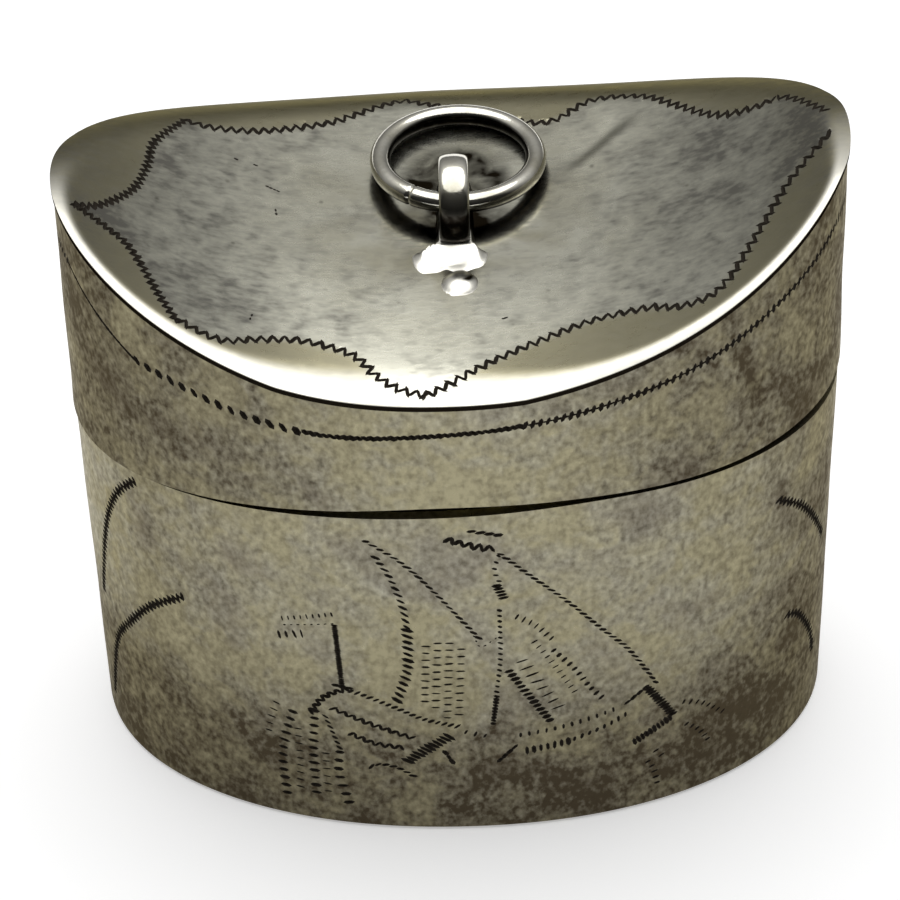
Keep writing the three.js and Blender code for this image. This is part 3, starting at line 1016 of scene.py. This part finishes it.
BODY_CUTS = (
    (SWAG, ((-16.0, 19.0), (-17.3, 17.5), (-18.5, 15.2), (-19.4, 12.4), (-20.3, 8.9))),
    (SWAG, ((-13.7, 12.9), (-15.7, 11.2), (-17.4, 9.1), (-19.1, 6.5), (-20.5, 1.9))),
    (SWAG, ((15.9, 16.7), (17.6, 15.2), (19.1, 13.2), (20.3, 11.2))),
    (SWAG, ((17.0, 8.5), (18.0, 7.8), (19.3, 5.7), (19.8, 4.0))),
    (ROPE, ((-4.3, 19.0), (-2.7, 17.7), (-1.2, 15.8), (0.7, 12.9))),
    (Stroke(0.42, 42, 0.52, 0.2), ((-3.9, 18.0), (-3.3, 16.8), (-2.8, 15.1), (-2.6, 13.6))),
    (Stroke(0.38, 68, 0.66, 0.24), ((-2.6, 13.4), (-2.6, 11.9), (-2.7, 10.6), (-3.2, 8.8))),
    (Stroke(0.13, 80, 0.34, 0.17), ((-6.0, 13.4), (-5.9, 11.6), (-5.8, 9.4))),
    (BOLD_DASH, ((-6.1, 9.5), (-5.5, 9.4))),
    (Stroke(0.2, 62, 0.5, 0.23, 1.0), ((-7.4, 7.5), (-6.8, 8.5), (-6.2, 9.0), (-5.6, 9.3))),
    (Stroke(0.3, 54, 0.44, 0.18), ((-5.4, 9.2), (-4.8, 9.0), (-3.3, 8.3), (-2.0, 7.6), (-0.4, 7.1))),
    (TEETH, ((-6.3, 7.9), (-4.8, 7.2), (-2.6, 6.3))),
    (TEETH, ((-5.5, 6.3), (-4.4, 5.8), (-3.1, 5.6))),
    (RUNGS, ((-8.3, 7.3), (-8.8, 5.4), (-9.0, 3.7), (-8.9, 1.6))),
    (THIN_RUNGS, ((-8.1, 6.2), (-8.1, 4.2), (-8.2, 2.2))),
    (RUNGS, ((-7.2, 7.6), (-7.4, 4.9), (-7.4, 2.0))),
    (Stroke(0.3, 40, 0.42, 0.17), ((-6.7, 7.3), (-6.1, 5.3))),
    (RUNGS, ((-6.1, 5.0), (-6.2, 3.6), (-5.8, 1.6))),
    (THIN_RUNGS, ((-9.1, 7.7), (-9.4, 6.7), (-9.6, 5.7))),
    (THIN_RUNGS, ((-6.8, 4.8), (-6.8, 2.2))),
    (FINE_TICKS, ((-8.5, 13.4), (-6.1, 14.1))),
    (SPECKS, ((-8.4, 13.0), (-6.1, 13.5))),
    (TALL_TICKS, ((-8.7, 12.3), (-8.35, 12.4))),
    (TALL_TICKS, ((-7.95, 12.5), (-7.6, 12.6))),
    (Stroke(0.22, 104, 0.78, 0.25), ((-2.8, 4.7), (-1.8, 5.6), (-0.8, 6.4))),
    (Stroke(0.36, 24, 0.46, 0.19), ((-4.6, 4.2), (-4.1, 4.4), (-3.3, 4.2), (-2.6, 3.7))),
    (BOLD_DASH, ((-1.0, 5.3), (-0.7, 4.7))),
    (HATCH, ((-1.75, 12.4), (-1.9, 8.8))),
    (HATCH, ((-1.2, 12.6), (-1.4, 8.4))),
    (HATCH, ((-0.65, 12.6), (-0.85, 7.7))),
    (HATCH, ((-0.1, 12.2), (-0.3, 7.9))),
    (Stroke(0.22, 62, 0.6, 0.26, 1.0, 0.8), ((-0.6, 19.2), (0.8, 18.7), (1.4, 18.6))),
    (Stroke(0.34, 20, 0.5, 0.24), ((0.5, 19.7), (1.7, 19.4))),
    (MAST, ((1.7, 18.1), (1.5, 17.2), (1.7, 16.5))),
    (BOLD, ((1.6, 16.2), (1.9, 15.4))),
    (MAST, ((1.7, 14.6), (1.7, 11.5), (1.5, 9.3))),
    (Stroke(0.2, 70, 0.34, 0.22), ((1.5, 9.0), (1.3, 7.2))),
    (ROPE, ((1.8, 18.2), (3.3, 16.5), (4.9, 14.7), (6.6, 12.5), (7.7, 11.1), (8.6, 9.5), (9.2, 8.3))),
    (BOLD_DASH, ((7.8, 7.4), (8.7, 8.1))),
    (BOLD, ((8.8, 8.0), (9.6, 6.7), (10.1, 5.8))),
    (BOLD, ((10.0, 5.6), (9.1, 5.1), (8.2, 4.6))),
    (TICKS, ((0.0, 6.7), (0.9, 6.4))),
    (TICKS, ((2.6, 6.3), (4.3, 6.5), (5.9, 6.8), (7.1, 7.1))),
    (Stroke(0.31, 86, 0.6, 0.24), ((2.9, 5.2), (4.9, 5.5))),
    (Stroke(0.36, 60, 0.42, 0.18), ((5.2, 5.6), (6.7, 6.1), (7.7, 6.6))),
    (BOLD_DASH, ((1.6, 4.7), (2.3, 5.5))),
    (Stroke(0.3, 78, 0.5, 0.27), ((2.1, 10.6), (2.9, 9.1), (4.0, 7.1))),
    (Stroke(0.5, 84, 0.78, 0.13), ((2.7, 11.2), (3.5, 9.6), (4.4, 7.9))),
    (Stroke(0.4, 100, 0.4, 0.2), ((4.2, 11.7), (5.2, 10.3), (5.9, 9.0), (6.5, 8.1))),
    (Stroke(0.36, 100, 0.46, 0.12), ((2.5, 14.1), (3.3, 13.5), (4.1, 12.5))),
    (Stroke(0.4, 96, 0.42, 0.1), ((3.3, 12.4), (4.3, 10.6), (5.2, 8.8))),
    (SPECKS, ((0.5, 13.0), (0.8, 12.3), (1.5, 12.8))),
    (TICKS, ((10.7, 6.4), (11.7, 5.9), (12.9, 4.7))),
    (TICKS, ((10.9, 4.8), (11.6, 4.1), (12.1, 3.2))),
    (TICKS, ((9.3, 3.6), (9.6, 3.2))),
    (TICKS, ((8.9, 3.0), (9.2, 2.4), (9.4, 1.4))),
)


def wall_path(wall, line, height=lambda x, z: z):
    """A path on a wall from a line of distance and height in millimetres."""
    arc, level = curve_through(line).T * MM
    x, _ = wall.oval.points(wall.oval.angles_at(arc))
    return wall.along(arc, height(x, level))


def face_path(saddle, line):
    """A path on the lid's face from a line of x and y in millimetres."""
    return saddle.along(*(curve_through(line).T * MM))


# Operators


class SCENTBOX_OT_stage(bpy.types.Operator):
    """Camera at the photograph's angle, a soft sun, a plain studio world and a pale floor"""

    bl_idname = "scentbox.stage"
    bl_label = "Stage"

    def execute(self, context):
        scene = context.scene
        scene.view_settings.view_transform = "Standard"
        self.camera(scene)
        self.lights(scene)
        self.floor(scene)
        return {"FINISHED"}

    @staticmethod
    def camera(scene):
        data = bpy.data.cameras.new("camera")
        data.sensor_width = 36.0
        data.lens = CAMERA_LENS
        data.shift_x, data.shift_y = CAMERA_SHIFT
        data.clip_start = 0.01
        camera = bpy.data.objects.new("camera", data)
        elevation = math.radians(CAMERA_ELEVATION)
        back = Vector((0.0, -math.cos(elevation), math.sin(elevation)))
        turn = (-back).to_track_quat("-Z", "Y").to_matrix().to_4x4()
        roll = Matrix.Rotation(math.radians(CAMERA_ROLL), 4, "Z")
        stand = Matrix.Translation(Vector(CAMERA_TARGET) + back * CAMERA_DISTANCE)
        camera.matrix_world = stand @ turn @ roll
        scene.collection.objects.link(camera)
        scene.camera = camera

    @staticmethod
    def lights(scene):
        sun = bpy.data.lights.new("soft_sun", "SUN")
        sun.energy = SUN_STRENGTH
        sun.angle = SUN_ANGLE
        lamp = bpy.data.objects.new("soft_sun", sun)
        lamp.rotation_euler.x = SUN_TILT
        scene.collection.objects.link(lamp)
        world = bpy.data.worlds.new("studio")
        world.use_nodes = True
        scene.world = world
        graph = Graph(world.node_tree)
        toward = graph.node("ShaderNodeTexCoord", output=0)
        up = graph.node("ShaderNodeSeparateXYZ", {0: toward}, 2)
        behind = graph.node("ShaderNodeSeparateXYZ", {0: toward}, 1)
        level = graph.ramp(up, *WORLD_LEVELS)
        screen = graph.ramp(behind * 0.5 + 0.5, *WORLD_SCREEN)
        graph.fill(world.node_tree.nodes["Background"].inputs["Color"], level * screen)

    @staticmethod
    def floor(scene):
        half = FLOOR_HALF
        mesh = bpy.data.meshes.new("floor")
        corners = [(-half, -half, 0), (half, -half, 0), (half, half, 0), (-half, half, 0)]
        mesh.from_pydata(corners, [], [(0, 1, 2, 3)])
        finish = Finish("pale_floor")
        finish.set("Base Color", (*scene.scentbox_finish.floor, 1.0))
        finish.set("Roughness", 0.9)
        finish.set("Specular IOR Level", 0.0)
        camera, glossy, clear = (
            finish.node("ShaderNodeLightPath", output=f"Is {kind} Ray")
            for kind in ("Camera", "Glossy", "Transmission"))
        finish.set("Emission Color", finish.clamp(camera + glossy + clear) * FLOOR_GLOW)
        finish.set("Emission Strength", 1.0)
        floor = place("floor", mesh, finish.material)


class SCENTBOX_OT_body(bpy.types.Operator):
    """Body wall with the engraved boat and swags, and the base it stands on"""

    bl_idname = "scentbox.body"
    bl_label = "Body"

    def execute(self, context):
        shape = context.scene.scentbox_shape
        colours = context.scene.scentbox_finish
        silver = wall_silver("body_silver", colours, BODY_ENDS, DARK_FOOT)
        patina = cut_patina("cut_patina_body", colours)
        oval = Oval(BODY_HIGH.x, BODY_HIGH.y, shape.oval_power)
        rim = Seam(shape).rim
        wall = Wall(oval, lambda x, y: np.full_like(x, BODY_LOW.z), lambda x, y: rim(x),
                    shape.foot_taper, shape.dent, shape.dent_span, BODY_DENTS)
        piece = place("body_shell", wall.shell("body_shell", BODY_ROWS, shape.sheet), silver)
        graver = Graver(context.scene.scentbox_cut, patina)
        for number, (stroke, line) in enumerate(BODY_CUTS):
            graver.engrave(piece, wall_path(wall, line), stroke, BODY_SEED + number)
        settle(piece, "box", "body_silver", "body_wall")
        self.base(shape, silver)
        return {"FINISHED"}

    @staticmethod
    def base(shape, silver):
        oval = Oval(BASE_HIGH.x, BASE_HIGH.y, shape.oval_power)
        angle = around(FINE_SIDES)
        radius = (BASE_HIGH.z - BASE_LOW.z) * 0.7
        rings = []
        for step in np.linspace(0, math.pi / 2, 7):
            edge = oval.inset(radius * (1 - math.sin(step)))
            rings.append(edge.ring(angle, radius * (1 - math.cos(step))))
        rings.append(oval.ring(angle, BASE_HIGH.z))
        mesh = skin("base_sheet", rings, (0, 0, 0), (0, 0, BASE_HIGH.z))
        settle(place("base_sheet", mesh, silver), "box", "body_silver", "base_plate")


class SCENTBOX_OT_collar(bpy.types.Operator):
    """Inner collar over which the lid slides"""

    bl_idname = "scentbox.collar"
    bl_label = "Collar"

    def execute(self, context):
        shape = context.scene.scentbox_shape
        colours = context.scene.scentbox_finish
        oval = Oval(COLLAR_HIGH.x, COLLAR_HIGH.y, shape.oval_power)
        angle = around(FINE_SIDES)
        high = COLLAR_HIGH.z
        soft = COLLAR_EDGE
        corner = [(0, high - soft), (soft * 0.3, high - soft * 0.3), (soft, high)]
        far_corner = [(COLLAR_SHEET - inset, z) for inset, z in reversed(corner)]
        profile = [(0, COLLAR_LOW.z), *corner, *far_corner, (COLLAR_SHEET, COLLAR_LOW.z)]
        mesh = skin("collar_band", [oval.inset(inset).ring(angle, z) for inset, z in profile])
        silver = wall_silver("inner_silver", colours, BODY_ENDS)
        settle(place("collar_band", mesh, silver), "box", "inner_silver", "mouth_collar")
        return {"FINISHED"}


class SCENTBOX_OT_lid(bpy.types.Operator):
    """Lid wall and saddle top with their wriggle-cut borders"""

    bl_idname = "scentbox.lid"
    bl_label = "Lid"

    def execute(self, context):
        shape = context.scene.scentbox_shape
        colours = context.scene.scentbox_finish
        saddle = Saddle(shape)
        graver = Graver(context.scene.scentbox_cut, cut_patina("cut_patina_lid", colours))
        self.band(shape, colours, saddle, graver)
        self.top(shape, colours, saddle, graver)
        return {"FINISHED"}

    @staticmethod
    def band(shape, colours, saddle, graver):
        oval = Oval(BAND_HIGH.x, BAND_HIGH.y, shape.oval_power)
        lower = Seam(shape).lid
        wall = Wall(oval, lambda x, y: lower(x), lambda x, y: saddle.brim(x, y) - SOLDER_JOINT,
                    0.0, shape.dent, shape.dent_span, BAND_DENTS)
        mesh = wall.shell("lid_band", BAND_ROWS, shape.sheet)
        piece = place("lid_band", mesh, wall_silver("band_silver", colours, BAND_ENDS))
        for number, (stroke, line) in enumerate(BAND_CUTS):
            path = wall_path(wall, line, lambda x, below: saddle.edge(x) - below)
            graver.engrave(piece, path, stroke, BAND_SEED + number)
        # Darker along the dint
        store(piece.data, "dint_dark", dint(positions(piece.data)) / DINT_DEPTH)
        settle(piece, "lid", "lid_silver", "lid_wall")

    @staticmethod
    def top(shape, colours, saddle, graver):
        angle = around(LID_SIDES)
        roll = np.linspace(0, math.pi / 2, 19)
        rings = []

        def ring(oval, inset, lift):
            x, y = oval.points(angle)
            z = saddle.face(x, y, np.full_like(x, inset)) if lift is None else saddle.edge(x) + lift
            rings.append(stacked(x, y, z))

        inner = saddle.oval.inset(shape.roll_width)
        shares = np.linspace(0.04, 0.96, 30)
        for share in shares[::3]:
            ring(inner.scaled(share), 0, shape.roll_drop - shape.sheet)
        for step in roll[::3]:
            width = (shape.roll_width - shape.sheet) * math.sin(step)
            ring(inner.inset(-width), 0, (shape.roll_drop - shape.sheet) * math.cos(step))
        x, y = saddle.oval.points(angle)
        top = saddle.face(x, y, np.zeros_like(x))
        for height in (0.0, 0.4, 0.8):
            rings.append(stacked(x, y, top - saddle.upright(y) * (1 - height)))
        for step in roll[::-1]:
            width = shape.roll_width * math.sin(step)
            ring(inner.inset(-width), shape.roll_width - width, None)
        for share in shares[::-1]:
            ring(inner.scaled(share), shape.roll_width, None)
        middle = np.zeros(1)
        high = saddle.face(middle, middle)[0]
        low = saddle.edge(middle)[0] + shape.roll_drop - shape.sheet
        mesh = skin("lid_saddle", rings, (0, 0, low), (0, 0, high))
        piece = place("lid_saddle", mesh, lid_silver("lid_silver", colours))
        for number, (line, stroke) in enumerate(zip(LID_BORDER, LID_STROKES)):
            graver.engrave(piece, face_path(saddle, line), stroke, BORDER_SEED + number)
        for number, line in enumerate(LID_NICKS):
            graver.engrave(piece, face_path(saddle, line), NICK, NICK_SEED + number)
        saddle.wear(piece.data)
        settle(piece, "lid", "lid_silver", "lid_top")


class SCENTBOX_OT_ring(bpy.types.Operator):
    """Solder mound, eye and pull ring"""

    bl_idname = "scentbox.ring"
    bl_label = "Ring"

    def execute(self, context):
        shape = context.scene.scentbox_shape
        colours = context.scene.scentbox_finish
        wire = wire_silver("wire_silver", colours)
        self.mound(shape)
        self.eye(wire)
        self.ring(shape, wire)
        return {"FINISHED"}

    @staticmethod
    def mound(shape):
        """Solder drawn out from the feet of the eye, with a round drop of it before them."""
        saddle = Saddle(shape)
        eye = (EYE_LOW + EYE_HIGH) / 2
        feet = (EYE_HIGH.y - EYE_LOW.y) / 2
        half_strap = (EYE_HIGH.x - EYE_LOW.x) / 2 + 0.05 * MM
        drop = Vector((eye.x + 0.15 * MM, MOUND_LOW.y + DROP_RADIUS + 0.05 * MM))
        rise = MOUND_HIGH.z - saddle.face(np.array([eye.x]), np.array([eye.y]))[0]

        def lift(x, y):
            before = np.maximum(eye.y - feet - y, 0) / SOLDER_BEFORE
            behind = np.maximum(y - eye.y - feet, 0) / SOLDER_BESIDE
            spread = soft_step((eye.y - feet + 0.3 * MM - y) / (0.5 * MM))
            half = half_strap + (SOLDER_HALF_WIDTH - half_strap) * spread
            aside = np.maximum(np.abs(x - eye.x + 0.25 * MM * spread) - half, 0)
            aside = aside / (SOLDER_BESIDE * (1 + 3 * spread))
            out = np.minimum(np.sqrt(aside ** 2 + before ** 2 + behind ** 2), 1)
            lumps = dents(stacked(x, y, 0.0), SOLDER_LUMPS, SOLDER_LUMP_SPAN, SOLDER_DENTS)
            lumps = lumps * out * (1 - out) * 4
            off = np.hypot(x - drop.x, y - drop.y) / DROP_RADIUS
            return rise * (1 - out) ** 2 + lumps + DROP_HEIGHT * np.maximum(1 - off ** 2, 0)

        middle = Vector((eye.x, (MOUND_LOW.y + MOUND_HIGH.y) / 2))
        outline = Oval((MOUND_HIGH.x - MOUND_LOW.x) * 0.4, (MOUND_HIGH.y - MOUND_LOW.y) / 2, 4)
        angle = around(MOUND_SIDES)
        across, along = outline.points(angle)
        rings = []
        for share in np.linspace(1, 0.01, MOUND_RINGS):
            x = middle.x + across * share
            y = middle.y + along * share
            height = lift(x, y)
            sink = MOUND_SINK * (1 - soft_step(height / MOUND_SINK))
            rings.append(stacked(x, y, saddle.face(x, y) + height - sink))
        high = rings[-1].mean(axis=0)
        under = rings[0] - np.array([0, 0, 0.07 * MM])
        low = under.mean(axis=0)
        mesh = skin("solder_mound", [under] + rings, tuple(low), tuple(high))
        # The wear also paints the shade round the eye onto the solder
        saddle.wear(mesh)
        store(mesh, "rub", np.full(len(mesh.vertices), 0.9))
        store(mesh, "buff", np.full(len(mesh.vertices), 0.3))
        piece = place("solder_mound", mesh, bpy.data.objects["lid_saddle"].data.materials[0])
        settle(piece, "lid", "lid_silver", "eye_mound", crease=70)

    @staticmethod
    def eye(wire):
        """A flat strap with rounded edges bent to an eye, its feet on the mound."""
        centre = (EYE_LOW + EYE_HIGH) / 2
        half_width = (EYE_HIGH.x - EYE_LOW.x) / 2
        outer = (EYE_HIGH.y - EYE_LOW.y) / 2
        centre.z = EYE_HIGH.z - outer
        inner = outer - EYE_STRAP
        section = []
        for turn in np.linspace(0, math.pi, 25):
            bulge = (EYE_STRAP - EYE_STRAP_EDGE) * math.sin(turn) ** 0.5
            section.append((inner + EYE_STRAP_EDGE + bulge, -half_width * math.cos(turn)))
        for turn in np.linspace(0, math.pi, 9):
            section.append((inner + 0.1 * MM * (1 - math.sin(turn)), half_width * math.cos(turn) * 0.94))
        foot = math.asin((centre.z - EYE_LOW.z) / outer)
        rings = []
        for sweep in np.linspace(-foot, math.pi + foot, EYE_RINGS):
            ring = []
            for radius, across in section:
                y = centre.y + radius * math.cos(sweep)
                z = max(centre.z + radius * math.sin(sweep), EYE_LOW.z)
                ring.append((centre.x + across, y, z))
            rings.append(ring)
        first = tuple(np.mean(rings[0], axis=0))
        last = tuple(np.mean(rings[-1], axis=0))
        mesh = skin("eye_strap", rings, first, last)
        height = (positions(mesh)[:, 2] - EYE_LOW.z) / (EYE_HIGH.z - EYE_LOW.z)
        # Painted shade: the lower part of the eye goes black
        store(mesh, "painted_shade", soft_step((0.72 - height) / 0.25))
        settle(place("eye_strap", mesh, wire), "lid", "wire_silver", "ring_eye", crease=50)

    @staticmethod
    def ring(shape, wire):
        """A ring of round wire, closed by a joint near the eye."""
        far = Vector(((RING_LOW.x + RING_HIGH.x) / 2, RING_HIGH.y - shape.wire / 2,
                      RING_LOW.z + shape.wire / 2))
        near = Vector((far.x, RING_PIVOT.y, RING_PIVOT.z))
        centre = (near + far) / 2
        radius = (far - near).length / 2
        back = (far - near).normalized()
        right = Vector((1.0, 0.0, 0.0))
        up = right.cross(back)
        rings = []
        for turn in np.linspace(0, TURN, RING_STEPS, endpoint=False):
            out = right * math.sin(turn) + back * math.cos(turn)
            joint = turn - math.pi - RING_JOINT
            notch = 0.16 * hump(joint / 0.02) - 0.01 * hump(joint / 0.1)
            thick = shape.wire / 2 * (0.98 - notch + 0.005 * math.sin(3 * turn + 1.0))
            ring = []
            for spin in around(WIRE_SIDES):
                point = centre + out * (radius + thick * math.cos(spin)) + up * (thick * math.sin(spin))
                ring.append(tuple(point))
            rings.append(ring)
        mesh = skin("wire_ring", rings)
        # Painted shade, with tarnish, on the inner side and the underside of the wire
        spin = np.tile(around(WIRE_SIDES), len(rings))
        inner = soft_step((-np.cos(spin) - 0.68) / 0.2)
        under = soft_step((0.05 - np.sin(spin)) / 0.5)
        store(mesh, "painted_shade", np.maximum(inner, under))
        settle(place("wire_ring", mesh, wire), "ring", "wire_silver", "pull_ring", crease=50)


class SCENTBOX_OT_sponge(bpy.types.Operator):
    """Natural sponge cut to the box, with its pores"""

    bl_idname = "scentbox.sponge"
    bl_label = "Sponge"

    def execute(self, context):
        shape = context.scene.scentbox_shape
        colours = context.scene.scentbox_finish
        oval = Oval(SPONGE_HIGH.x, SPONGE_HIGH.y, shape.oval_power)
        angle = around(SPONGE_SIDES)
        radius = SPONGE_EDGE_RADIUS
        top = SPONGE_HIGH.z - SPONGE_CROWN
        rings = []

        def ring(inset, z, share=1.0):
            rings.append(oval.inset(inset).scaled(share).ring(angle, z))

        for share in np.linspace(0.1, 0.9, 8):
            ring(radius, SPONGE_LOW.z, share)
        for step in np.linspace(0, math.pi / 2, 8):
            ring(radius * (1 - math.sin(step)), SPONGE_LOW.z + radius * (1 - math.cos(step)))
        for z in np.linspace(SPONGE_LOW.z + radius, top - radius, 24)[1:-1]:
            ring(0.0, z)
        for step in np.linspace(math.pi / 2, 0, 8):
            ring(radius * (1 - math.sin(step)), top - radius * (1 - math.cos(step)))
        for share in np.linspace(0.985, 0.02, 60):
            ring(radius, top, share)
        mesh = skin("scent_block", rings, (0, 0, SPONGE_LOW.z), (0, 0, top))
        self.pores(mesh)
        piece = place("scent_block", mesh, dry_sponge("sponge", colours))
        settle(piece, "box", "sponge", "scent_sponge", crease=80)
        return {"FINISHED"}

    @staticmethod
    def pores(mesh):
        """Sinks round pores of two sizes into the skin."""
        where = positions(mesh)
        mesh.shade_smooth()
        normals = np.array([v.normal for v in mesh.vertices])
        depth = np.zeros(len(where))
        for span, deep in ((2.2 * MM, 0.55 * MM), (1.0 * MM, 0.3 * MM)):
            for k, point in enumerate(where):
                near = noise.voronoi(Vector(point) / span)[0][0]
                depth[k] += deep * max(0.0, 1.0 - near / 0.42) ** 0.6
        moved = where - normals * depth[:, None]
        mesh.vertices.foreach_set("co", moved.astype(np.float32).ravel())
        # Depth of the pores, for the shade painted into them
        store(mesh, "pore_shade", np.clip(depth / (0.6 * MM), 0, 1))


class SCENTBOX_PT_panel(bpy.types.Panel):
    """Pieces and sizes of the scent box"""

    bl_label = "Scent Box"
    bl_idname = "SCENTBOX_PT_panel"
    bl_space_type = "VIEW_3D"
    bl_region_type = "UI"
    bl_category = "Scent Box"

    def draw(self, context):
        for group in (context.scene.scentbox_shape, context.scene.scentbox_cut,
                      context.scene.scentbox_finish):
            column = self.layout.column()
            for name in group.__annotations__:
                column.prop(group, name)
        for operator in OPERATORS:
            self.layout.operator(operator.bl_idname)


GROUPS = {"scentbox_shape": BoxShape, "scentbox_cut": GraverCut, "scentbox_finish": SilverFinish}
OPERATORS = (SCENTBOX_OT_stage, SCENTBOX_OT_body, SCENTBOX_OT_collar, SCENTBOX_OT_lid,
             SCENTBOX_OT_ring, SCENTBOX_OT_sponge)
CLASSES = (*GROUPS.values(), *OPERATORS, SCENTBOX_PT_panel)


def register():
    for cls in CLASSES:
        bpy.utils.register_class(cls)
    for name, group in GROUPS.items():
        setattr(bpy.types.Scene, name, bpy.props.PointerProperty(type=group))


def unregister():
    for name in GROUPS:
        delattr(bpy.types.Scene, name)
    for cls in reversed(CLASSES):
        bpy.utils.unregister_class(cls)


def main():
    register()
    bpy.ops.scentbox.stage()
    bpy.ops.scentbox.body()
    bpy.ops.scentbox.collar()
    bpy.ops.scentbox.lid()
    bpy.ops.scentbox.ring()
    bpy.ops.scentbox.sponge()


if __name__ == "__main__":
    main()
